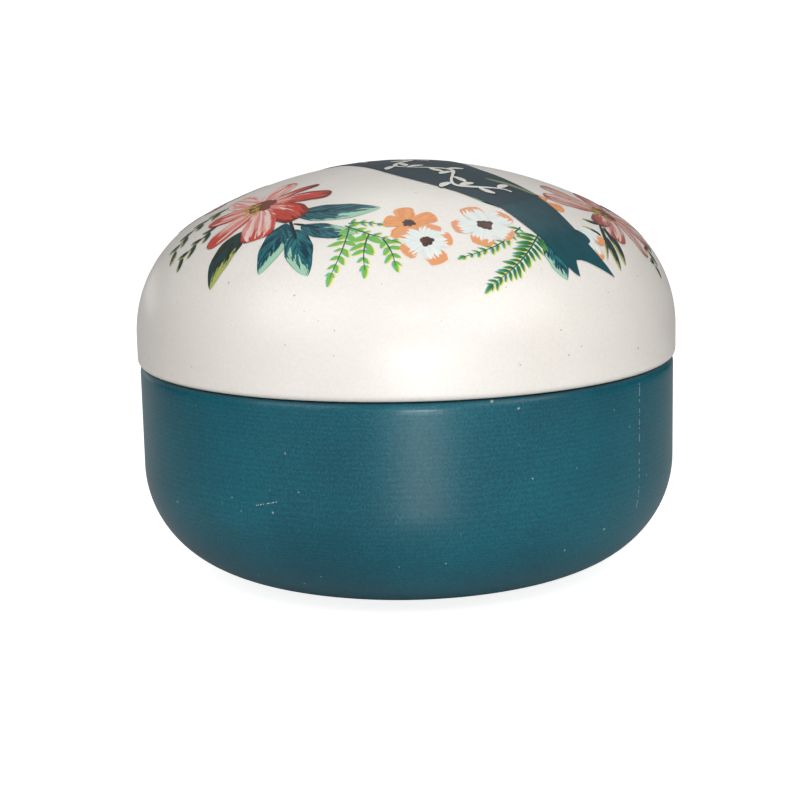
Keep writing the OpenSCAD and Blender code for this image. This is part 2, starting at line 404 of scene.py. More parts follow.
def paint(red, green, blue):
    """A colour as a paint chart gives it, from 0 to 255, turned into the light it gives back."""
    def light(value):
        share = value / 255
        return share / 12.92 if share <= 0.04045 else ((share + 0.055) / 1.055) ** 2.4
    return (light(red), light(green), light(blue), 1.0)


def scratch(around, height, middle, length, width, lean, dashes):
    """1 along a thin broken scratch. middle is its distance round the wall and its height."""
    sideways = around - middle[0]
    upright = height - middle[1]
    cosine, sine = math.cos(math.radians(lean)), math.sin(math.radians(lean))
    along = sideways * cosine + upright * sine
    off = upright * cosine - sideways * sine
    broken = noise(vector(along), dashes, 1.0) > 0.5
    return (abs(along) < length / 2) * (abs(off) < width / 2) * broken


def teal_enamel():
    """Teal roller coat: fine grain, a worn standing ring, specks, two old scratches, painted shade under the
    lid.
    """
    material, shader = finish_of("teal_enamel", Specular_IOR_Level=0.36, Anisotropic=0.5,
                                 Anisotropic_Rotation=0.25, Coat_Weight=0.15, Coat_Roughness=0.15)
    place = object_place(shader)
    x, y, z = parts_of(place)
    cloud = noise(place, 38, 3.0)
    grain = noise(place, 3200, 2.0, 0.6)
    rings = {"Vector": place, "Scale": 700.0, "Distortion": 2.0, "Detail": 1.0}
    ring = out(place.tree, "ShaderNodeTexWave", rings, "Fac", wave_type="RINGS", rings_direction="SPHERICAL")
    weave = grain * 0.9 + ring * 0.08
    tone = cloud * 0.3 + weave * 0.6
    colour = mixed(rise(tone, 0.3, 0.8), paint(0, 71, 86), paint(6, 119, 135))
    around = x.bearing(y * -1.0) * body_r
    short = scratch(around, z, (-25.1 * MM, 21.6 * MM), 4.6 * MM, 0.16 * MM, 14, 2500)
    long = scratch(around, z, (46.7 * MM, 27.0 * MM), 24 * MM, 0.2 * MM, 90, 900)
    speck = rise(noise(place, 900, 1.0), 0.785, 0.81)
    for worn, strength in ((short, 0.75), (long, 0.45), (speck, 0.5)):
        colour = mixed(worn * strength, colour, paint(196, 208, 208))
    rubbed = rise(z, 0.6 * MM, 0.05 * MM) * rise(noise(place, 500), 0.42, 0.55)
    colour = mixed(rubbed, colour, paint(168, 166, 158))
    # Painted shade: a near-black band on the shoulder just under the lid's rim, for the dark gap between lid
    # and body.
    groove_shade = rise(z, rim_z - 0.45 * MM, rim_z - 0.12 * MM, 0.0, 0.85) * (z < rim_z + 0.2 * MM)
    colour = mixed(groove_shade, colour, paint(10, 16, 18))
    tangent = out(place.tree, "ShaderNodeTangent", direction_type="RADIAL", axis="Z")
    give(shader, {"Base Color": colour, "Roughness": rise(cloud, 0.3, 0.7, 0.37, 0.43),
                  "Metallic": rubbed, "Tangent": tangent})
    bumped(shader, weave, 0.012 * MM)
    return material


def gold_lacquer():
    """Bright tinplate under a clear gold lacquer, with the fine lines of the rolling mill."""
    material, shader = finish_of("gold_lacquer", Metallic=0.95)
    place = object_place(shader)
    lines = noise(stretched(place, 40.0, 2600.0, 2600.0), 1.0)
    colour = mixed(rise(noise(place, 60, 3.0), 0.35, 0.7), paint(222, 200, 152), paint(214, 194, 150))
    give(shader, {"Base Color": colour, "Roughness": rise(lines, 0.3, 0.7, 0.34, 0.44)})
    bumped(shader, lines, 0.002 * MM)
    return material


foot_turn = 90 - foot_slope
swept = math.cos(math.radians(corner_sweep))
foot_r = (body_r - ring_r - body_corner_r * (1 - swept)) / (swept - math.cos(math.radians(foot_turn)))
rise_of_foot = math.sin(math.radians(foot_turn)) - math.sin(math.radians(corner_sweep))
corner_z = body_corner_r * math.sin(math.radians(corner_sweep)) + foot_r * rise_of_foot
body_corner = (body_r - body_corner_r, corner_z)
foot_centre = (body_corner[0] - (foot_r - body_corner_r) * swept,
               body_corner[1] + (foot_r - body_corner_r) * math.sin(math.radians(corner_sweep)))
ring_inner = ring_r - ring_w
shoulder_centre = (body_r - shoulder_r, rim_z - shoulder_r)
roll_centre = (neck_r - mouth_roll_r, mouth_z - mouth_roll_r)
base_corners = [(0, panel_rise), (ring_inner - panel_rise, panel_rise), (ring_inner, 0), (ring_r, 0)]
foot_arc = arc(foot_centre, foot_r, -foot_turn, -corner_sweep)
base_path = bent(base_corners + foot_arc[1:2], bend_r)
corner_arc = arc(body_corner, body_corner_r, -corner_sweep, 0)
shoulder_arc = arc(shoulder_centre, shoulder_r, 0, 90)
neck_path = bent([shoulder_arc[-1], (neck_r, rim_z), (neck_r, rim_z + MM)], 0.2 * MM)
roll_arc = arc(roll_centre, mouth_roll_r, 0, 270, 0.25 * MM)
outer_path = base_path + foot_arc[2:] + corner_arc[1:] + shoulder_arc + neck_path[1:] + roll_arc
outer_path = evened(outer_path, longest_step)
inner_path = beside(outer_path, sheet_t)[::-1]

turned = turned_tree()
teal = teal_enamel()
lacquer = gold_lacquer()
bowl = made_by(turned, "enamelled_bowl", section_mesh("bowl_section", outer_path, inner_path),
               Steps=steps_round, Face=teal, Lining=lacquer)
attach(bowl, "tin_body")
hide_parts("body_shell")

# The sifter.
# An ivory moulded dish that hangs in the mouth on a soft gasket, with a tan shutter disc
# turning on a brass rivet in its well. A washer spreads the rivet's clench underneath.


def moulded_plastic(name, light, dark, roughness, dust):
    """Injection moulding: faint flow marks, a satin skin, and talc lying in its texture."""
    material, shader = finish_of(name, Subsurface_Weight=0.12, Subsurface_Scale=0.002,
                                 Subsurface_Radius=(1.0, 0.8, 0.6))
    place = object_place(shader)
    talc = noise(place, 210, 4.0, 0.7) * noise(place, 1300)
    colour = mixed(rise(noise(place, 70, 3.0), 0.3, 0.7), light, dark)
    colour = mixed(rise(talc, 0.24, 0.4, 0.0, dust), colour, paint(250, 249, 246))
    give(shader, {"Base Color": colour, "Roughness": rise(talc, 0.2, 0.4, roughness, 0.75)})
    bumped(shader, noise(place, 1900) * 0.4 + talc, 0.03 * MM)
    return material


def bare_metal(name, light, dark, roughness, scale):
    """Plated or polished metal with fine turning marks and dull patches from handling."""
    material, shader = finish_of(name, Metallic=1.0)
    place = object_place(shader)
    patches = noise(place, scale, 3.0)
    x, y, z = parts_of(place)
    radius = (x * x + y * y).root()
    marks = noise(vector(radius * 14000.0, z), 1.0, 1.0)
    give(shader, {"Base Color": mixed(rise(patches, 0.35, 0.7), light, dark),
                  "Roughness": rise(patches, 0.3, 0.7, roughness, roughness + 0.18)})
    bumped(shader, marks, 0.006 * MM)
    return material


def soft_foam(name, light, dark, cell):
    """Soft matt foam with open cells, painted darker in their hollows as shade."""
    material, shader = finish_of(name, 0.9)
    place = object_place(shader)
    cells = out(place.tree, "ShaderNodeTexVoronoi", {"Vector": place, "Scale": 1 / cell}, "Distance")
    # Painted shade: the colour is darkest where the bump sinks into each cell.
    give(shader, {"Base Color": mixed(rise(cells, 0.0, 0.6), dark, light)})
    bumped(shader, cells, 0.1 * MM)
    return material


def refinish(node, material):
    """Gives a CAD node a new finish and leaves its shape as it is."""
    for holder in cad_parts[node].material_slots:
        holder.material = material


ivory = moulded_plastic("ivory_moulding", paint(240, 233, 218), paint(235, 227, 211), 0.34, 0.5)
tan = moulded_plastic("tan_moulding", paint(222, 203, 168), paint(214, 194, 158), 0.32, 0.3)
refinish("sifter_tray", ivory)
refinish("sifter_shutter", tan)
refinish("shutter_rivet", bare_metal("rivet_brass", paint(214, 178, 104), paint(176, 140, 78), 0.24, 600))
refinish("rivet_washer", bare_metal("washer_steel", paint(196, 197, 198), paint(150, 150, 150), 0.3, 500))
refinish("tray_gasket", soft_foam("gasket_foam", paint(222, 216, 204), paint(190, 184, 172), 0.4 * MM))

# The powder puff.
# Foam filling in a cover of long velour pile, closed with a stitched satin back. A satin
# ribbon loop is sewn on as a handle. The pile holds the talc.
face_low, face_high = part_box("puff_face")
back_low, back_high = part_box("puff_back")
pile_length = 2.3 * MM
pile_width = 0.5 * MM
pile_count = 15000
pile_seed = 7
cover_r = face_high.x - 1.7 * MM
cover_low = face_low.z + 1.9 * MM
cover_edge_r = 4.2 * MM
cover_top_r = 3.2 * MM
cover_steps = 160
seam_r = 35.2 * MM
seam_z = back_low.z + 0.35 * MM


def velour():
    """Rose velour with lighter tips, clumped by use and dusted with talc."""
    material, shader = finish_of("rose_velour", 0.85, Sheen_Weight=0.45, Sheen_Roughness=0.45)
    place = object_place(shader)
    clumps = noise(place, 210, 3.0)
    colour = mixed(rise(clumps, 0.3, 0.7), paint(232, 168, 164), paint(246, 204, 198))
    colour = mixed(rise(noise(place, 48, 3.0), 0.45, 0.75, 0.1, 0.7), colour, paint(251, 244, 240))
    give(shader, {"Base Color": colour})
    bumped(shader, clumps, 0.3 * MM)
    return material


def laid_out(points, item, turn, size, material, smooth=True):
    """Ends a tree with an item on each point, turned and sized, as one mesh of one material."""
    laid = {"Points": points, "Instance": item, "Rotation": turn, "Scale": size}
    shape = then(out(points.tree, "GeometryNodeInstanceOnPoints", laid), "RealizeInstances")
    if smooth:
        shape = then(shape, "SetShadeSmooth")
    shape = then(shape, "SetMaterial", {"Material": material})
    put(points.tree, "NodeGroupOutput", {"Geometry": shape})


def pile_tree():
    """Stands a leaning tuft on each of many random points of a surface."""
    tree, given = geometry_tree("standing_pile", Count="Float", Length="Float", Width="Float",
                                Seed="Int", Pile="Material")
    spread = put(tree, "GeometryNodeDistributePointsOnFaces",
                 {"Mesh": given["Geometry"], "Density": given["Count"], "Seed": given["Seed"]}).outputs
    cone = {"Vertices": 4, "Side Segments": 3, "Radius Top": 0.06, "Radius Bottom": 0.5, "Depth": 1.0}
    stem = out(tree, "GeometryNodeMeshCone", cone, "Mesh", fill_type="NONE")
    height = parts_of(out(tree, "GeometryNodeInputPosition"))[2]
    bowed = then(stem, "SetPosition", {"Offset": vector(height * height * 2.6)})
    lean = out(tree, "FunctionNodeRandomValue",
               {0: (-0.42, -0.42, 0.0), 1: (0.42, 0.42, math.tau), "Seed": 3}, data_type="FLOAT_VECTOR")
    turn = out(tree, "FunctionNodeEulerToRotation", {0: lean})
    stand = out(tree, "FunctionNodeRotateRotation", {0: Value(spread["Rotation"]), 1: turn},
                rotation_space="LOCAL")
    share = out(tree, "FunctionNodeRandomValue", {2: 0.75, 3: 1.15, "Seed": 5}, 1, data_type="FLOAT")
    size = vector(given["Width"], given["Width"], given["Length"] * share)
    laid_out(Value(spread["Points"]), bowed, stand, size, given["Pile"])
    return tree


def vertices(mesh):
    """The places of a mesh's points, one in a row."""
    places = np.empty(len(mesh.vertices) * 3)
    mesh.vertices.foreach_get("co", places)
    return places.reshape(-1, 3)


def move(mesh, places):
    """Moves a mesh's points to new places."""
    mesh.vertices.foreach_set("co", places.ravel())
    mesh.update()


def rumpled(mesh, amount, size, seed):
    """Moves a soft piece's skin in and out in slow waves, as stuffing lies unevenly."""
    points = vertices(mesh)
    waves = np.random.default_rng(seed)
    moved = points.copy()
    for axis in range(3):
        for _ in range(4):
            way = waves.normal(size=3)
            way /= np.linalg.norm(way)
            moved[:, axis] += amount / 4 * np.sin(points @ way * math.tau / size + waves.uniform(0, math.tau))
    move(mesh, moved)


rose_velour = velour()
cover_side = arc((cover_r - cover_edge_r, cover_low + cover_edge_r), cover_edge_r, -90, 0)
cover_top = arc((cover_r - cover_top_r, seam_z - 2.2 * MM), cover_top_r, 0, 68)
cover_path = [(0, cover_low)] + cover_side + cover_top + [(seam_r, seam_z), (0, seam_z - 0.2 * MM)]
ground_path = [(0, cover_low)] + cover_side + cover_top[:-2]
cover, ground = (
    made_by(turned, name, section_mesh(name, evened(path, longest_step), []),
            Steps=cover_steps, Face=rose_velour, Lining=rose_velour)
    for name, path in (("puff_cover", cover_path), ("pile_ground", ground_path)))
rumpled(cover.data, 0.35 * MM, 23 * MM, 4)
cover_area = sum(face.area for face in cover.data.polygons)
pile = made_by(pile_tree(), "puff_pile", ground.data, Count=pile_count / cover_area, Length=pile_length,
               Width=pile_width, Seed=pile_seed, Pile=rose_velour)
bpy.data.objects.remove(ground)
for soft in (cover, pile):
    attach(soft, "puff")
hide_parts("puff_face")
refinish("puff_core", soft_foam("cream_foam", paint(240, 226, 196), paint(206, 186, 150), 0.8 * MM))


def satin(name, light, dark, thread):
    """Satin weave: long floats one way, with the fine steps of the weave and a silky sheen."""
    material, shader = finish_of(name, Anisotropic=0.55, Sheen_Weight=0.25, Sheen_Roughness=0.3)
    woven = out(shader.id_data, "ShaderNodeUVMap", uv_map="weave")
    threads = noise(stretched(woven, 1 / thread, 0.16 / thread, 1.0), 1.0)
    slubs = noise(stretched(woven, 60.0, 900.0, 1.0), 1.0)
    shade = threads * 0.6 + noise(woven, 90) * 0.4
    give(shader, {"Base Color": mixed(rise(shade, 0.3, 0.7), dark, light),
                  "Roughness": rise(slubs, 0.3, 0.7, 0.34, 0.5)})
    bumped(shader, threads + slubs * 0.5, 0.025 * MM)
    return material


def wrapped(mesh, map_name, places):
    """Gives each point of a mesh its place on a flat map, and shades the mesh smooth."""
    corners = np.empty(len(mesh.loops), int)
    mesh.loops.foreach_get("vertex_index", corners)
    mesh.uv_layers.new(name=map_name).data.foreach_set("uv", np.array(places)[corners].ravel())
    mesh.polygons.foreach_set("use_smooth", [True] * len(mesh.polygons))
    mesh.update()


def cloth(name, grid, weave, thickness, closed_round=False):
    """A sheet of cloth with two faces from a grid of points on its upper one.

    weave gives each point its place on the flat cloth. A sheet that is closed round has its
    columns joined in a ring and its middle filled.
    """
    rows, columns = grid.shape[:2]
    under = rows * columns
    across = np.gradient(grid, axis=1)
    numbers = np.arange(under).reshape(rows, columns)
    if closed_round:
        across = (np.roll(grid, -1, axis=1) - np.roll(grid, 1, axis=1)) / 2
        numbers = np.hstack([numbers, numbers[:, :1]])
    normal = np.cross(np.gradient(grid, axis=0), across)
    normal /= np.maximum(np.linalg.norm(normal, axis=2), 1e-12)[:, :, None]
    points = np.concatenate([grid.reshape(-1, 3), (grid - normal * thickness).reshape(-1, 3)])
    flat_place = np.concatenate([weave.reshape(-1, 2)] * 2)
    faces = []
    lines = numbers.tolist()
    for line, following in zip(lines, lines[1:]):
        for a, b, c, d in zip(line, following, following[1:], line[1:]):
            faces += [(a, b, c, d), (d + under, c + under, b + under, a + under)]
    edges = [lines[-1][::-1]]
    if closed_round:
        middle = grid[0].mean(axis=0)
        points = np.concatenate([points, [middle, middle - normal[0].mean(axis=0) * thickness]])
        flat_place = np.concatenate([flat_place, [weave[0].mean(axis=0)] * 2])
        for a, b in zip(lines[0], lines[0][1:]):
            faces += [(2 * under, a, b), (b + under, a + under, 2 * under + 1)]
    else:
        edges += [lines[0], [line[0] for line in lines][::-1], [line[-1] for line in lines]]
    for edge in edges:
        faces += [(a, b, b + under, a + under) for a, b in zip(edge, edge[1:])]
    mesh = new_mesh(name, points.tolist(), [], faces)
    wrapped(mesh, "weave", flat_place)
    return mesh


gathers = 46
back_cloth_r = back_high.x
satin_t = 0.3 * MM
back_rows = np.linspace(0.02, 1, 60)
back_turns = np.linspace(0, math.tau, 240, endpoint=False)
share, turn = np.meshgrid(back_rows, back_turns, indexing="ij")
edge_near = np.clip((share - 0.55) / 0.45, 0, 1)
pulled = np.sin(gathers * turn + 1.3 * np.sin(3 * turn)) + 0.5 * np.sin(gathers * 1.7 * turn)
crown = back_high.z - 0.05 * MM - 0.75 * MM * share ** 4
stitch_dip = 0.35 * MM * np.exp(-((share * back_cloth_r - seam_r + 0.6 * MM) / (0.7 * MM)) ** 2)
height = crown - stitch_dip + 0.16 * MM * pulled * edge_near ** 2
back_grid = np.stack([share * back_cloth_r * np.cos(turn), share * back_cloth_r * np.sin(turn), height], 2)
back_weave = back_grid[:, :, :2].copy()
satin_rose = satin("rose_satin", paint(244, 205, 200), paint(228, 176, 172), 0.22 * MM)
satin_back = piece("satin_back", cloth("satin_back", back_grid, back_weave, satin_t, closed_round=True))
satin_back.data.materials.append(satin_rose)
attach(satin_back, "puff")
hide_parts("puff_back")

ribbon_low, ribbon_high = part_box("puff_ribbon")
ribbon_w = ribbon_high.y - ribbon_low.y
ribbon_t = 0.4 * MM
loop_half = 22 * MM
loop_h = ribbon_high.z - ribbon_low.z - 0.7 * MM
end_reach = ribbon_high.x
flat_z = ribbon_low.z + ribbon_t + 0.1 * MM
loop_angles = np.linspace(0, math.pi, 70)
loop_x = loop_half * np.cos(loop_angles)
loop_z = flat_z + (loop_h + 0.2 * MM) * np.sin(loop_angles) ** 0.9
end_x = np.linspace(end_reach, loop_half, 8)[:-1]
ribbon_x = np.concatenate([end_x, loop_x, -end_x[::-1]])
ribbon_z = np.concatenate([np.full(len(end_x), flat_z), loop_z, np.full(len(end_x), flat_z)])
ribbon_run = np.concatenate([[0], np.cumsum(np.hypot(np.diff(ribbon_x), np.diff(ribbon_z)))])
ribbon_across = np.linspace(-0.5, 0.5, 17)
run, side = np.meshgrid(ribbon_run, ribbon_across, indexing="ij")
in_loop = np.clip(1 - np.abs(np.interp(run, ribbon_run, ribbon_x)) / loop_half, 0, 1) ** 0.5
cupped = -0.35 * MM * (2 * side) ** 2 * in_loop
ripple = 0.22 * MM * np.sin(run / (3.7 * MM)) * (2 * side) ** 3 * in_loop
ribbon_grid = np.stack([
    np.interp(run, ribbon_run, ribbon_x),
    side * ribbon_w,
    np.interp(run, ribbon_run, ribbon_z) + cupped + ripple], 2)
ribbon_weave = np.stack([side * ribbon_w, run], 2)
ribbon_mesh = cloth("ribbon_loop", ribbon_grid[:, ::-1], ribbon_weave[:, ::-1], ribbon_t)
ribbon_loop = piece("ribbon_loop", ribbon_mesh)
ribbon_loop.data.materials.append(satin("rose_ribbon", paint(222, 146, 142), paint(194, 112, 110), 0.2 * MM))
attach(ribbon_loop, "puff")
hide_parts("puff_ribbon")


def stitch_tree():
    """Lays a thread stitch at each point, turned by its heading."""
    tree, given = geometry_tree("row_of_stitches", Length="Float", Width="Float", Thread="Material")
    bead = out(tree, "GeometryNodeMeshUVSphere", {"Segments": 8, "Rings": 5, "Radius": 0.5}, "Mesh")
    turn = vector(0, 0, named(tree, "heading"))
    size = vector(given["Length"], given["Width"], given["Width"])
    laid_out(given["Geometry"], bead, turn, size, given["Thread"])
    return tree


def thread():
    """Twisted cotton thread."""
    material, shader = finish_of("rose_thread", 0.7, Sheen_Weight=0.2)
    twist = noise(object_place(shader), 4200, 1.0)
    give(shader, {"Base Color": mixed(twist, paint(206, 128, 124), paint(236, 176, 170))})
    bumped(shader, twist, 0.03 * MM)
    return material


seam_stitches = 132
end_stitches = 8
side_stitches = 3
stitched_w = ribbon_w - 2 * MM
stitch_length = 1.25 * MM
stitch_width = 0.32 * MM
stitch_lift = 0.02 * MM
stitch_places = []
stitch_headings = []
for i in range(seam_stitches):
    turn_here = math.tau * i / seam_stitches
    radius = seam_r - 0.6 * MM
    level = float(np.interp(radius / back_cloth_r, back_rows, (crown - stitch_dip)[:, 0]))
    stitch_places.append((radius * math.cos(turn_here), radius * math.sin(turn_here), level + stitch_lift))
    stitch_headings.append(turn_here + math.pi / 2)
for side_sign in (-1, 1):
    for row in range(2):
        for i in range(end_stitches):
            across_here = (i / (end_stitches - 1) - 0.5) * stitched_w
            along_here = side_sign * (end_reach - (1.4 + 3.2 * row) * MM)
            stitch_places.append((along_here, across_here, flat_z + stitch_lift))
            stitch_headings.append(math.pi / 2)
        for i in range(side_stitches):
            across_here = (row - 0.5) * stitched_w
            along_here = side_sign * (end_reach - (1.9 + 1.1 * i) * MM)
            stitch_places.append((along_here, across_here, flat_z + stitch_lift))
            stitch_headings.append(0.0)
stitch_points = new_mesh("stitch_points", stitch_places, [], [])
mark(stitch_points, "heading", stitch_headings)
stitches = made_by(stitch_tree(), "puff_stitches", stitch_points,
                   Length=stitch_length, Width=stitch_width, Thread=thread())
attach(stitches, "puff")

# The lid shell.
# Drawn from one disc of tinplate into a dome with a straight side, and rolled inward at
# its rim. It was printed and varnished flat, cream all over, before it was drawn.
lid_low, lid_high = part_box("lid_shell")
lid_r = lid_high.x
lid_h = lid_high.z - lid_low.z
lid_side_h = 5.4 * MM
lid_corner_r = 23.6 * MM
rim_roll_r = 1.2 * MM
rim_w = 2.1 * MM
rim_return_h = 2.0 * MM
crown_rise = lid_h - lid_side_h
corner_in = lid_r - lid_corner_r
dome_r = (corner_in ** 2 + crown_rise ** 2 - lid_corner_r ** 2) / (2 * (crown_rise - lid_corner_r))
dome_z = lid_high.z - dome_r
lid_corner_z = rim_z + lid_side_h
dome_turn = math.degrees(math.acos(corner_in / (dome_r - lid_corner_r)))


def cream_enamel():
    """Cream stoving enamel, a little yellowed, with a fine grain and rare dust specks."""
    material, shader = finish_of("cream_enamel", Coat_Weight=0.2, Coat_Roughness=0.2)
    place = object_place(shader)
    cloud = noise(place, 32, 3.0)
    grain = noise(place, 2100, 2.0, 0.6)
    colour = mixed(rise(cloud * 0.6 + grain * 0.4, 0.3, 0.7), paint(233, 227, 218), paint(243, 239, 233))
    speck = rise(noise(place, 1000, 1.0), 0.775, 0.8)
    colour = mixed(speck * 0.6, colour, paint(150, 142, 130))
    give(shader, {"Base Color": colour, "Roughness": rise(cloud, 0.3, 0.7, 0.31, 0.39)})
    bumped(shader, grain, 0.006 * MM)
    return material


rim_corners = [(lid_r - rim_w, rim_z + rim_return_h), (lid_r - rim_w, rim_z), (lid_r - rim_roll_r, rim_z)]
rim_path = bent(rim_corners, bend_r)
rim_arc = arc((lid_r - rim_roll_r, rim_z + rim_roll_r), rim_roll_r, -90, 0, 0.25 * MM)
lid_corner_arc = arc((corner_in, lid_corner_z), lid_corner_r, 0, dome_turn)
dome_arc = arc((0, dome_z), dome_r, dome_turn, 90)
lid_outer = evened(rim_path + rim_arc + lid_corner_arc + dome_arc, longest_step)
lid_outer[-1] = (0, lid_outer[-1][1])
lid_inner = beside(lid_outer, sheet_t)[::-1]
lid_skin = made_by(turned, "enamelled_lid", section_mesh("lid_section", lid_outer, lid_inner),
                   Steps=steps_round, Face=cream_enamel(), Lining=lacquer)
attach(lid_skin, "lid")
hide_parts("lid_shell")

# The print on the lid.
# A wreath of painted flowers, leaves and ferns round a blank banner, printed in flat inks
# on the blank. The shapes are set out on the flat blank and then drawn over the lid with it.
ink_height = 0.03 * MM
ink_layer = 0.012 * MM
shape_step = 0.07
shapes_in_turn = 12
print_seed = 21
chance = np.random.default_rng(print_seed)


def over_lid(flat, layer):
    """Places on the drawn lid for points set out on the flat blank, in millimetres from its middle."""
    x, y = flat[:, 0] * MM, flat[:, 1] * MM
    lift = ink_height + ink_layer * layer
    reach = np.hypot(x, y)
    bearing = np.arctan2(x, -y)
    dome_length = dome_r * math.radians(90 - dome_turn)
    corner_length = lid_corner_r * math.radians(dome_turn)
    on_dome = reach / dome_r
    on_corner = math.radians(dome_turn) - (reach - dome_length) / lid_corner_r
    radius = np.where(reach < dome_length, (dome_r + lift) * np.sin(on_dome),
                      corner_in + (lid_corner_r + lift) * np.cos(np.maximum(on_corner, 0)))
    height = np.where(reach < dome_length, dome_z + (dome_r + lift) * np.cos(on_dome),
                      lid_corner_z + (lid_corner_r + lift) * np.sin(np.maximum(on_corner, 0)))
    height -= np.maximum(reach - dome_length - corner_length, 0)
    return np.stack([radius * np.sin(bearing), -radius * np.cos(bearing), height], 1)


def new_plate():
    """An empty set of shapes for one ink: their points, faces, places in the shape, tones and layers."""
    return {"points": [], "faces": [], "within": [], "tone": [], "layer": [], "shapes": 0}


def patch(plate, spine, width, tone, layer, cells, notch=0.0, notch_side=0.0, slant=0.0):
    """A shape along a spine with a width at each point.

    notch cuts a swallowtail into its end, and slant shortens one of the two tails. Each shape of
    a plate lies a hair over the one before it, so that they don't share a height where they cross.
    """
    spine = np.array(spine, float)
    width = np.array(width, float)[:, None, None]
    way = np.gradient(spine, axis=0)
    way /= np.linalg.norm(way, axis=1)[:, None]
    left = np.stack([-way[:, 1], way[:, 0]], 1)
    share, side = np.meshgrid(np.linspace(0, 1, len(spine)), np.linspace(-1, 1, cells + 1), indexing="ij")
    reach = 1 + np.copysign(notch_side, notch_side * (notch_side - side))
    from_notch = np.abs(side - notch_side) / reach
    drawn_back = notch * (1 - from_notch) * share ** 6 + slant * (1 - side) * share ** 4
    places = spine[:, None] + left[:, None] * width * side[..., None] - way[:, None] * drawn_back[..., None]
    first = len(plate["points"])
    plate["points"] += places.reshape(-1, 2).tolist()
    plate["within"] += np.stack([share, side / 2 + 0.5], 2).reshape(-1, 2).tolist()
    plate["tone"] += [tone] * side.size
    plate["layer"] += [layer + shape_step * (plate["shapes"] % shapes_in_turn)] * side.size
    plate["shapes"] += 1
    row = cells + 1
    for start in range(first, first + (len(spine) - 1) * row, row):
        plate["faces"] += [(a, a + row, a + row + 1, a + 1) for a in range(start, start + cells)]


def blade(plate, base, tip, half_width, layer, bow=0.0, belly=0.5, fullness=1.0, tone=None, ripple=0.04):
    """A petal or leaf from base to tip. belly is where it is widest, and a low fullness blunts its ends."""
    tone = chance.uniform() if tone is None else tone
    base, tip = np.array(base, float), np.array(tip, float)
    length = np.linalg.norm(tip - base)
    rows = max(7, math.ceil(length / 0.8))
    share = (1 - np.cos(np.linspace(0.03, math.pi - 0.03, rows + 1))) / 2
    way = (tip - base) / length
    left = np.array([-way[1], way[0]])
    spine = base + np.outer(share, tip - base) + np.outer(np.sin(math.pi * share), left * bow)
    root, end = fullness * belly, fullness * (1 - belly)
    width = (share / belly) ** root * ((1 - share) / (1 - belly)) ** end
    width = half_width * width * (1 + ripple * np.sin(share * 17 + tone * 40))
    patch(plate, spine, width, tone, layer, cells=6 if half_width < 1.2 else 10)


def printed(name, plate, ink):
    """The thin piece that a plate's shapes make on the lid."""
    places = over_lid(np.array(plate["points"]), np.array(plate["layer"]))
    mesh = new_mesh(name, places.tolist(), [], plate["faces"])
    mark(mesh, "tone", plate["tone"])
    wrapped(mesh, "within", plate["within"])
    if sum(face.normal.z * face.area for face in mesh.polygons) < 0:
        mesh.flip_normals()
    made = piece(name, mesh)
    made.data.materials.append(ink)
    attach(made, "lid")


def ink_of(name):
    """A new ink under the varnish, with a point's place along and across its shape and the shape's tone."""
    material, shader = finish_of(name, 0.38, Specular_IOR_Level=0.35)
    along, across, _ = parts_of(out(shader.id_data, "ShaderNodeUVMap", uv_map="within"))
    tone = out(shader.id_data, "ShaderNodeAttribute", output="Fac", attribute_name="tone")
    return material, shader, along, across * 2.0 - 1.0, tone


def brushed(along, side, tone, length, fineness, slant=0.0):
    """Brush marks that run along a shape: noise drawn out along it, different for each tone."""
    leaning = along - abs(side) * slant
    return noise(vector(leaning * length, side * fineness, tone * 41.0), 1.0, 3.0, 0.6)


def petal_ink(name, blush, rose, coral, maroon):
    """A painted petal: blush and rose strokes, a ragged coral end and side, and a dark tip on some."""
    blush, rose, coral, maroon = (paint(*colour) for colour in (blush, rose, coral, maroon))
    material, shader, along, side, tone = ink_of(name)
    strokes = brushed(along, side, tone, 1.7, 2.8)
    fine = brushed(along, side, tone + 0.37, 4.0, 9.0)
    end = along + strokes * 0.7 + tone * 0.75 + fine * 0.25
    flank = side + strokes * 1.2 + tone * 0.6 + along * 0.25
    rim = abs(side) + along * 0.8 + tone * 0.7 + fine * 0.3
    flame = mixed(rise(fine, 0.45, 0.6, 0.0, 0.4), coral, maroon)
    colour = mixed(rise(strokes + tone * 0.1, 0.46, 0.6), blush, rose)
    for share, over in (
            (rise(fine + along * -0.5, 0.42, 0.6, 0.0, 0.8), paint(222, 130, 84)),
            (rise(end + strokes * 0.35, 1.7, 1.75, 0.0, 0.92), flame),
            (rise(flank, 1.72, 1.82, 0.0, 0.85), coral),
            (rise(end, 1.9, 1.95, 0.0, 0.85), maroon),
            (rise(rim, 1.95, 2.05, 0.0, 0.75), maroon)):
        colour = mixed(share, colour, over)
    give(shader, {"Base Color": colour})
    return material


def leaf_ink(name, dark, middle, tip_light, edge_dark):
    """A painted leaf: strokes along its veins, a light ragged patch, and a dark rib and edge."""
    dark, middle, tip_light, edge_dark = (paint(*colour) for colour in (dark, middle, tip_light, edge_dark))
    material, shader, along, side, tone = ink_of(name)
    veins = brushed(along, side, tone, 16.0, 1.6, slant=0.3)
    broad = brushed(along, side, tone + 0.53, 5.0, 3.0, slant=0.35)
    lit_side = side * ((tone > 0.5) * 2.0 - 1.0)
    light = along * 1.05 + lit_side * 0.3 + broad + veins * 0.35
    rib = abs(side) + along * 0.05 + veins * 0.06
    outline = abs(side) + veins * 0.1
    colour = mixed(rise(veins, 0.42, 0.6), dark, middle)
    for share, over in (
            (rise(light, 1.4, 1.46, 0.0, 0.95), tip_light),
            (rise(rib, 0.09, 0.05, 0.0, 0.9), edge_dark),
            (rise(outline, 0.97, 1.02, 0.0, 0.6), edge_dark)):
        colour = mixed(share, colour, over)
    give(shader, {"Base Color": colour})
    return material


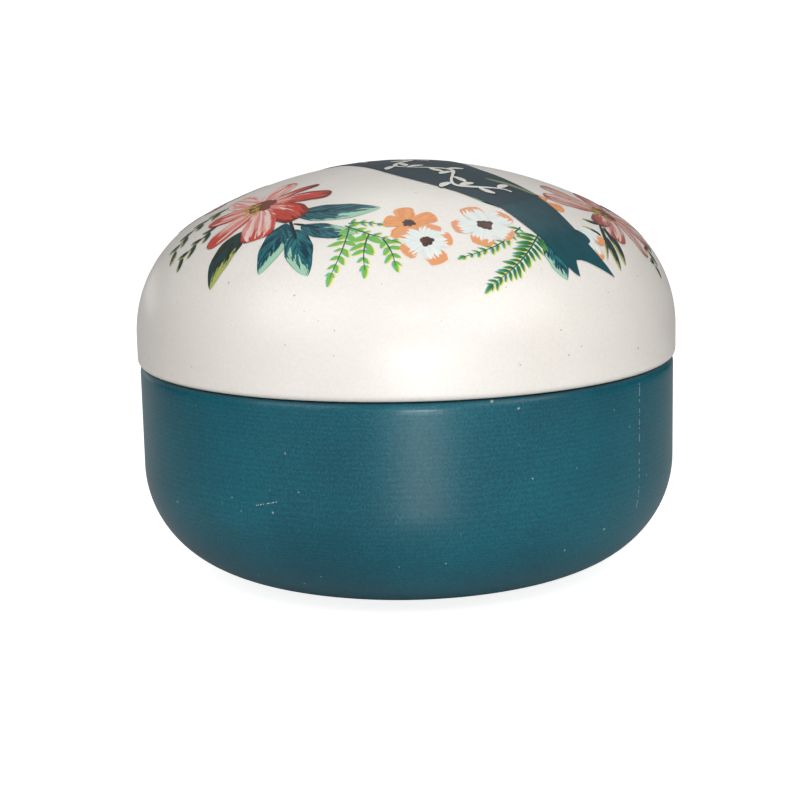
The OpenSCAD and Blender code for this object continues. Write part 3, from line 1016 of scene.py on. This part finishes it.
def toned_ink(name, first, second):
    """An ink that goes from one shade to another with each shape's tone, and goes back towards its tip."""
    material, shader, along, side, tone = ink_of(name)
    share = brushed(along, side, tone, 2.0, 2.5) * 0.5 + tone * 0.7 + along * -0.35
    give(shader, {"Base Color": mixed(rise(share, 0.2, 0.7), first, second)})
    return material


def flat_ink(name, first, second, length=3.0, fineness=1.0):
    """A plain ink laid in two close shades."""
    material, shader, along, side, tone = ink_of(name)
    strokes = brushed(along, side, tone, length, fineness)
    give(shader, {"Base Color": mixed(rise(strokes, 0.4, 0.62), first, second)})
    return material


def white_petal_ink():
    """A white petal with a ragged orange end."""
    material, shader, along, side, tone = ink_of("white_petal_ink")
    strokes = brushed(along, side, tone, 1.6, 3.6)
    ragged = along + strokes * 0.7 + tone * 0.15
    colour = mixed(rise(strokes, 0.4, 0.65), paint(237, 241, 237), paint(224, 233, 229))
    give(shader, {"Base Color": mixed(rise(ragged, 1.07, 1.11), colour, paint(232, 160, 110))})
    return material


petals, pale_petals, orange_petals, white_petals, teal_leaves, olive_leaves, leaf_stems, hearts, stamens = (
    new_plate() for _ in range(9))


def polar(middle, bearing, reach):
    """The point at a reach from a middle, with the bearing in degrees."""
    angle = math.radians(bearing)
    return (middle[0] + reach * math.cos(angle), middle[1] + reach * math.sin(angle))


def flower_heart(middle, reach, facing):
    """A dark brown heart with a cluster of yellow stamens on one side of it."""
    for i in range(18):
        bearing = 20 * i + chance.uniform(-7, 7)
        blade(hearts, polar(middle, bearing, 0.1), polar(middle, bearing, reach * chance.uniform(0.8, 1.1)),
              reach * 0.24, belly=0.6, fullness=0.8, tone=chance.uniform(0, 0.35), layer=6)
    for i in range(18):
        bearing = facing + chance.uniform(-70, 70)
        spot = polar(middle, bearing, reach * chance.uniform(0.2, 1.15))
        blade(stamens, spot, polar(spot, bearing + chance.uniform(-60, 60), 0.9), 0.32, fullness=0.7, layer=7)


def painted_flower(plate, middle, heart_reach, facing, petals_given):
    """A flower whose petals are given one by one: tip, half width, where it is widest, and tone."""
    for tip, half_width, belly, tone in petals_given:
        base = (middle[0] + 0.12 * (tip[0] - middle[0]), middle[1] + 0.12 * (tip[1] - middle[1]))
        blade(plate, base, tip, half_width, bow=0.3, belly=belly, fullness=0.9, tone=tone, layer=4)
    flower_heart(middle, heart_reach, facing)


def big_flower(plate, middle, reach, turn):
    """Two rings of nine and six painted petals round a dark heart with yellow stamens."""
    for ring_count, far, wide, layer in ((9, 1.0, 0.21, 4), (6, 0.76, 0.185, 5)):
        for i in range(ring_count):
            bearing = turn + 360 / ring_count * (i + 0.5 * (layer - 4)) + chance.uniform(-8, 8)
            length = reach * far * chance.uniform(0.8, 1.1)
            blade(plate, polar(middle, bearing, reach * 0.08), polar(middle, bearing, length),
                  reach * wide * chance.uniform(0.75, 1.15), bow=chance.uniform(-0.7, 0.7), belly=0.68,
                  fullness=0.95, tone=chance.uniform(0.1, 0.9), layer=layer)
    flower_heart(middle, reach * 0.24, turn + 180)


def sprig(base, tip, bow, count, bud):
    """A bare stem with narrow dark buds on both sides of it."""
    base, tip = np.array(base, float), np.array(tip, float)
    way = (tip - base) / np.linalg.norm(tip - base)
    blade(olive_leaves, base, tip, 0.2, bow=bow, fullness=0.3, tone=0.1, layer=1, ripple=0.0)
    for i in range(count):
        at = (i + 0.6) / count
        spot = base + (tip - base) * at + np.array([-way[1], way[0]]) * bow * math.sin(math.pi * at)
        bearing = math.degrees(math.atan2(way[1], way[0])) + (38 if i % 2 else -38) + chance.uniform(-9, 9)
        blade(olive_leaves, spot, polar(spot, bearing, bud * chance.uniform(0.75, 1.1)), bud * 0.2, bow=0.3,
              fullness=1.1, layer=2)


def blossom(plate, middle, reach, turn, heart_reach):
    """A small blossom of five broad petals with a dark ragged heart. White ones lie over orange ones."""
    layer = 4 if plate is white_petals else 3
    for i in range(5):
        bearing = turn + 72 * i + chance.uniform(-7, 7)
        length = reach * chance.uniform(0.88, 1.1)
        blade(plate, polar(middle, bearing, reach * 0.05), polar(middle, bearing, length), reach * 0.37,
              belly=0.7, fullness=0.8, layer=layer, ripple=0.07)
    for i in range(7):
        bearing = turn + 51.4 * i
        blade(hearts, polar(middle, bearing + 180, heart_reach * 0.6),
              polar(middle, bearing, heart_reach * chance.uniform(0.65, 1.15)), heart_reach * 0.42,
              fullness=0.7, tone=chance.uniform(0.6, 1), layer=5)


# Where the wreath's parts lie on the blank: the near side first, then round the far side.
painted_flower(petals, (-25.5, -18.8), 2.9, 185, (
    ((-30.8, -7.4), 3.0, 0.6, 0.12), ((-20.1, -9.4), 2.5, 0.6, 0.3), ((-14.9, -15.4), 1.1, 0.6, 1.0),
    ((-12.7, -22.0), 2.1, 0.64, 0.9), ((-18.3, -29.4), 3.2, 0.66, 0.88), ((-35.9, -16.2), 2.6, 0.55, 0.62),
    ((-35.9, -27.0), 2.4, 0.55, 0.52), ((-26.4, -32.4), 3.3, 0.74, 0.44)))
painted_flower(pale_petals, (37.4, -11.4), 2.6, 250, (
    ((25.4, -15.9), 2.6, 0.6, 0.35), ((25.2, -8.6), 2.2, 0.6, 0.4), ((35.4, -20.6), 1.9, 0.55, 0.95),
    ((39.5, -22.6), 2.4, 0.66, 0.45), ((47.4, -17.3), 1.7, 0.6, 0.3), ((48.8, -9.6), 2.2, 0.6, 0.5),
    ((44.6, -1.6), 2.4, 0.6, 0.25), ((34.0, 0.6), 2.6, 0.6, 0.6)))
big_flower(pale_petals, (-37.5, 9.0), 11.6, 75)
big_flower(petals, (15.0, 35.0), 12.6, 100)
for base, tip, half_width, bow, tone in (
        ((-20.8, -30.0), (-26.4, -41.4), 2.6, 0.6, 0.71), ((-19.0, -33.2), (-17.3, -45.8), 2.6, -0.4, 0.13),
        ((-19.4, -27.0), (-3.9, -30.5), 2.9, -1.3, 0.22), ((-18.0, -32.5), (-8.4, -38.2), 2.1, -0.7, 0.83),
        ((25.4, -34.6), (29.9, -42.0), 2.2, -0.5, 0.35), ((20.0, -27.0), (9.6, -22.6), 1.6, 0.5, 0.64),
        ((-30.0, 20.6), (-24.5, 33.6), 2.7, 0.6, 0.44), ((-24.4, 17.6), (-11.6, 24.0), 2.6, -0.7, 0.05),
        ((2.6, 30.2), (-9.6, 33.0), 2.5, 0.6, 0.92), ((4.4, 37.6), (-4.8, 45.4), 2.3, -0.5, 0.27),
        ((27.2, 33.6), (37.6, 28.0), 2.6, 0.7, 0.58), ((38.6, -3.6), (41.8, 8.2), 2.5, -0.6, 0.15)):
    blade(teal_leaves, base, tip, half_width, bow=bow, belly=0.46, fullness=1.5, tone=tone, layer=1)
for base, tip, half_width, bow, tone in (
        ((-28.2, -27.6), (-36.8, -37.6), 2.7, -0.6, 0.55), ((36.6, -20.8), (41.9, -28.4), 1.0, 0.3, 0.2),
        ((37.0, -24.0), (41.0, -31.0), 0.9, -0.2, 0.15), ((35.8, -20.0), (37.7, -31.2), 0.45, 0.2, 0.1),
        ((35.6, -20.4), (32.4, -21.3), 0.6, 0.2, 0.1), ((36.0, -24.8), (32.2, -25.0), 1.0, 0.2, 0.3),
        ((-42.4, 18.6), (-45.8, 27.0), 2.3, 0.5, 0.65), ((24.2, 42.0), (31.2, 43.2), 2.0, 0.4, 0.25),
        ((44.2, -3.4), (49.0, 5.4), 2.0, 0.4, 0.75)):
    blade(olive_leaves, base, tip, half_width, bow=bow, belly=0.42, fullness=1.4, tone=tone, layer=2)
for base, tip in (
        ((-20.2, -28.4), (-18.9, -36.4)), ((-19.4, -31.0), (-14.6, -34.6)), ((-19.6, -27.4), (-13.0, -29.0))):
    blade(leaf_stems, base, tip, 0.3, fullness=0.4, tone=0.4, layer=2)
sprig((-31.6, -9.6), (-44.2, -17.6), -1.2, 8, 3.6)
sprig((-33.6, -18.8), (-42.6, -22.6), 0.8, 6, 3.4)
sprig((45.6, -7.4), (50.4, -16.4), -0.6, 6, 3.0)
blossom(orange_petals, (0.9, -36.0), 4.9, 25, 1.2)
blossom(white_petals, (3.7, -41.2), 5.3, 10, 1.5)
blossom(white_petals, (14.2, -35.0), 5.7, 50, 1.7)
blossom(orange_petals, (24.2, -21.0), 4.6, 10, 0.8)
blade(white_petals, (31.4, -26.0), (36.8, -27.2), 1.7, belly=0.66, fullness=0.8, tone=0.6, layer=3)
blade(white_petals, (31.2, -27.4), (36.4, -32.3), 1.6, belly=0.66, fullness=0.8, tone=0.3, layer=3)
blossom(white_petals, (-16.6, 36.4), 5.6, 15, 1.6)
blossom(orange_petals, (-8.4, 38.8), 4.8, 60, 1.3)
blossom(orange_petals, (42.6, 14.0), 4.8, 5, 1.3)
blossom(white_petals, (37.8, 21.6), 5.4, 35, 1.5)


def fern_tree():
    """Sets a leaflet on each point of the ribs, turned and sized by the point's own values."""
    tree, given = geometry_tree("leaflets_on_ribs", Aside="Vector", Ink="Material")
    grid = put(tree, "GeometryNodeMeshGrid", {"Vertices X": 5, "Vertices Y": 3}).outputs
    x, y, _ = parts_of(out(tree, "GeometryNodeInputPosition"))
    along = x + 0.5
    round_out = along ** 0.6 * (along * -1.0 + 1.02)
    within = {"Name": "within", "Value": Value(grid["UV Map"])}
    blank = then(Value(grid["Mesh"]), "StoreNamedAttribute", within, data_type="FLOAT2", domain="CORNER")
    leaflet = then(blank, "SetPosition", {"Position": vector(along, y * round_out * 1.1)})
    shifted = then(given["Geometry"], "SetPosition", {"Offset": given["Aside"]})
    turn = vector(0, 0, named(tree, "heading"))
    length = named(tree, "size")
    size = vector(length, length * named(tree, "plump"), length)
    laid_out(shifted, leaflet, turn, size, given["Ink"], smooth=False)
    return tree


rib_points = {"place": [], "heading": [], "size": [], "plump": [], "tone": []}
ribs = new_plate()


def leaflet(place, heading, size, plump, tone):
    """One leaflet for the fern tree, at a place on a rib."""
    for key, value in zip(rib_points, ((place[0], place[1], 0), heading, size, plump, tone)):
        rib_points[key].append(value)


def fern(base, tip, bow, count, leaf, plump, tone):
    """A rib with pairs of leaflets that grow shorter towards its tip."""
    base, tip = np.array(base, float), np.array(tip, float)
    way = tip - base
    loose = 1 - 0.6 * tone
    heading = math.atan2(way[1], way[0])
    left = np.array([-way[1], way[0]]) / np.linalg.norm(way)
    share = np.linspace(0, 1, 12)
    spine = base + np.outer(share, way) + np.outer(np.sin(math.pi * share), left * bow)
    patch(ribs, spine, np.linspace(0.16, 0.05, 12), 0.5, 3, cells=2)
    for i in range(count):
        at = (i + 0.4) / count
        spot = base + way * at + left * bow * math.sin(math.pi * at)
        lean = heading + bow / np.linalg.norm(way) * math.pi * math.cos(math.pi * at)
        for side in (-1, 1):
            outward = lean + side * math.radians(60 - 26 * at + chance.uniform(-1, 1) * loose * 16)
            drawn = leaf * (1 - 0.6 * at ** 1.5) * (1 + loose * chance.uniform(-0.4, 0.25))
            leaflet(spot, outward, drawn, plump * (1 + loose * chance.uniform(-0.3, 0.3)), tone)
    leaflet(tip - 0.8 * way / np.linalg.norm(way), heading, leaf * 0.8, plump, tone)


for base, tip, bow, count, leaf, plump, tone in (
        ((-9.4, -35.8), (-13.4, -47.4), 0.7, 7, 3.1, 0.95, 0.15),
        ((-6.0, -38.8), (-7.0, -47.2), -0.5, 5, 3.0, 0.95, 0.2),
        ((-3.6, -40.6), (-1.6, -46.8), 0.3, 4, 2.8, 0.95, 0.2),
        ((-10.2, -35.4), (-1.0, -41.6), -0.5, 6, 2.0, 0.8, 0.3),
        ((-9.6, -34.8), (-3.6, -36.4), 0.4, 4, 1.7, 0.8, 0.4),
        ((20.4, -33.4), (9.9, -44.5), 1.6, 11, 2.0, 0.7, 0.55),
        ((23.6, -34.4), (15.4, -49.1), 1.2, 15, 3.3, 0.62, 0.7),
        ((-42.0, 16.0), (-37.4, 31.4), 1.4, 13, 2.6, 0.5, 0.9),
        ((-14.0, 42.2), (-2.8, 50.2), 1.5, 13, 2.6, 0.5, 0.8),
        ((-22.8, 38.6), (-31.6, 31.0), -1.2, 6, 2.8, 1.0, 0.2),
        ((40.6, 26.0), (31.6, 38.6), -1.6, 14, 2.5, 0.5, 0.9),
        ((44.6, 8.0), (50.4, 17.0), 0.9, 5, 2.6, 1.0, 0.2),
        ((6.0, 44.0), (14.0, 50.6), 1.0, 5, 2.6, 1.0, 0.2)):
    fern(base, tip, bow, count, leaf, plump, tone)

# The blue and yellow plates are a little out of register, so each fern has a thin fringe.
leaflets = fern_tree()
for name, aside, layer, first, second in (
        ("print_fern_yellow", (0.24, -0.12, 0), 0, paint(236, 226, 110), paint(222, 212, 96)),
        ("print_fern_blue", (-0.18, 0.08, 0), 1, paint(120, 190, 200), paint(96, 170, 188)),
        ("print_fern_green", (0, 0, 0), 2, paint(122, 190, 84), paint(22, 104, 60))):
    rib_mesh = new_mesh("fern_ribs", rib_points["place"], [], [])
    for key in ("heading", "size", "plump", "tone"):
        mark(rib_mesh, key, rib_points[key])
    fern_piece = made_by(leaflets, name, rib_mesh, Aside=aside, Ink=toned_ink(name, first, second))
    flat = vertices(fern_piece.data)
    move(fern_piece.data, over_lid(flat, np.full(len(flat), layer)))
    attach(fern_piece, "lid")

# The banner lies across the crown, and each end folds under once and ends in a swallowtail.
banner, banner_ends, folds, vine, vine_shade = (new_plate() for _ in range(5))


def smooth_line(points, longest):
    """A smooth line through points, as evenly spaced points no further apart than longest."""
    points = np.array(points, float)
    padded = np.vstack([2 * points[0] - points[1], points, 2 * points[-1] - points[-2]])
    line = []
    for i in range(1, len(padded) - 2):
        before, start, end, after = padded[i - 1:i + 3]
        count = max(2, math.ceil(np.linalg.norm(end - start) / longest))
        for share in np.linspace(0, 1, count, endpoint=False):
            line.append(0.5 * (2 * start + (end - before) * share
                        + (2 * before - 5 * start + 4 * end - after) * share ** 2
                        + (3 * start - before - 3 * end + after) * share ** 3))
    return np.array(line + [points[-1]])


def spread(values, count):
    """Values as many as count, evenly spaced along a few given ones."""
    return np.interp(np.linspace(0, 1, count), np.linspace(0, 1, len(values)), values)


half_band = [(0, 0), (6.0, -10.6), (13.6, -17.4), (20.6, -22.8)]
half_widths = [9.4, 9.0, 7.8, 6.4]
tail_line = [(17.6, -19.6), (22.1, -24.7), (26.4, -30.3), (31.4, -34.8), (38.3, -37.7)]
tail_widths = [6.2, 5.8, 5.0, 4.7, 4.0]
for turned_round in (1, -1):
    tail = smooth_line(np.array(tail_line) * turned_round, 1.2)
    tail_width = spread(tail_widths, len(tail))
    patch(banner_ends, tail, tail_width, 0.2, 7, cells=12, notch=4.6, notch_side=-0.3, slant=2.4)
    bulge = np.array([(30.0, -28.6), (33.6, -29.8)]) * turned_round
    blade(banner_ends, bulge[0], bulge[1], 1.5, fullness=0.7, tone=0.4, layer=7)
far_half = [(-x, -y) for x, y in half_band[:0:-1]]
band = smooth_line(far_half + half_band, 1.2)
patch(banner, band, spread(half_widths[:0:-1] + half_widths, len(band)), 0.6, 8, cells=16)
for turned_round in (1, -1):
    fold = np.array([(14.6, -14.2), (23.8, -17.6)]) * turned_round
    blade(folds, fold[0], fold[1], 0.7, bow=0.5 * turned_round, tone=0.5, layer=9)


def banner_ink(name, dark, light):
    """A deep teal banner with a fine painted grain."""
    material, shader, along, side, tone = ink_of(name)
    grain = noise(object_place(shader), 1500)
    shade = brushed(along, side, tone, 9.0, 3.0) * 0.55 + along * 0.4 + grain * 0.3
    give(shader, {"Base Color": mixed(rise(shade, 0.3, 0.85), dark, light)})
    return material


# A white vine with a dark shadow runs along the banner.
vine_way = smooth_line(far_half + half_band, 0.5)
vine_points = 150
vine_leaf_step = 6
shadow_way = np.array([0.7, -0.7])
vine_share = np.linspace(0.1, 0.95, vine_points)
way_share = np.linspace(0, 1, len(vine_way))
vine_middle = np.stack([np.interp(vine_share, way_share, vine_way[:, axis]) for axis in (0, 1)], 1)
vine_heading = np.gradient(vine_middle, axis=0)
vine_heading /= np.linalg.norm(vine_heading, axis=1)[:, None]
vine_left = np.stack([-vine_heading[:, 1], vine_heading[:, 0]], 1)
vine_swing = 3.5 * np.sin(vine_share * math.tau * 4.5) - 1.6
vine_line = vine_middle + vine_left * vine_swing[:, None]
vine_width = 0.34 + 0.1 * np.cos(vine_share * math.tau * 7)
for plate, widen, aside, layer in ((vine_shade, 0.24, 0.22, 9), (vine, 0.0, 0.0, 10)):
    patch(plate, vine_line + aside * shadow_way, vine_width + widen, 0.4, layer, cells=2)
    for i in range(5, vine_points - 5, vine_leaf_step):
        side = 1 if (i // vine_leaf_step) % 2 else -1
        way = np.gradient(vine_line, axis=0)[i]
        bearing = math.degrees(math.atan2(way[1], way[0])) + side * 48
        start = vine_line[i] + aside * shadow_way
        blade(plate, start, polar(start, bearing, 3.5 + widen), 0.68 + widen, bow=side * 0.35, belly=0.55,
              fullness=1.2, tone=0.4, layer=layer)

for name, plate, ink in (
        ("print_leaves_teal", teal_leaves, leaf_ink("teal_leaf_ink", (18, 58, 74), (44, 118, 126),
                                                    (166, 211, 184), (14, 36, 48))),
        ("print_leaves_olive", olive_leaves, leaf_ink("olive_leaf_ink", (44, 48, 32), (28, 70, 74),
                                                      (178, 186, 96), (28, 28, 22))),
        ("print_petals", petals, petal_ink("petal_ink", (240, 212, 204), (222, 142, 130),
                                           (203, 62, 42), (112, 40, 36))),
        ("print_petals_pale", pale_petals, petal_ink("pale_petal_ink", (226, 200, 190), (192, 124, 116),
                                                     (180, 84, 72), (110, 60, 58))),
        ("print_blossoms_orange", orange_petals, flat_ink(
            "orange_blossom_ink", paint(238, 164, 104), paint(228, 146, 86), 2.0, 3.0)),
        ("print_blossoms_white", white_petals, white_petal_ink()),
        ("print_leaf_stems", leaf_stems, flat_ink("leaf_stem_ink", paint(16, 36, 46), paint(22, 48, 58))),
        ("print_hearts", hearts, toned_ink("heart_ink", paint(124, 64, 50), paint(56, 44, 42))),
        ("print_stamens", stamens, flat_ink("stamen_ink", paint(196, 178, 62), paint(160, 140, 44), 1.0)),
        ("print_fern_ribs", ribs, flat_ink("fern_rib_ink", paint(20, 84, 58), paint(30, 104, 66))),
        ("print_banner", banner, banner_ink("banner_ink", paint(18, 36, 46), paint(12, 52, 64))),
        ("print_banner_folds", folds, flat_ink(
            "banner_fold_ink", paint(136, 148, 106), paint(104, 122, 92), 3.0, 2.0)),
        ("print_banner_ends", banner_ends, banner_ink(
            "banner_end_ink", paint(12, 56, 66), paint(18, 78, 88))),
        ("print_vine_shade", vine_shade, flat_ink("vine_shade_ink", paint(20, 22, 26), paint(30, 34, 38))),
        ("print_vine", vine, flat_ink("vine_ink", paint(236, 234, 226), paint(222, 222, 214)))):
    printed(name, plate, ink)
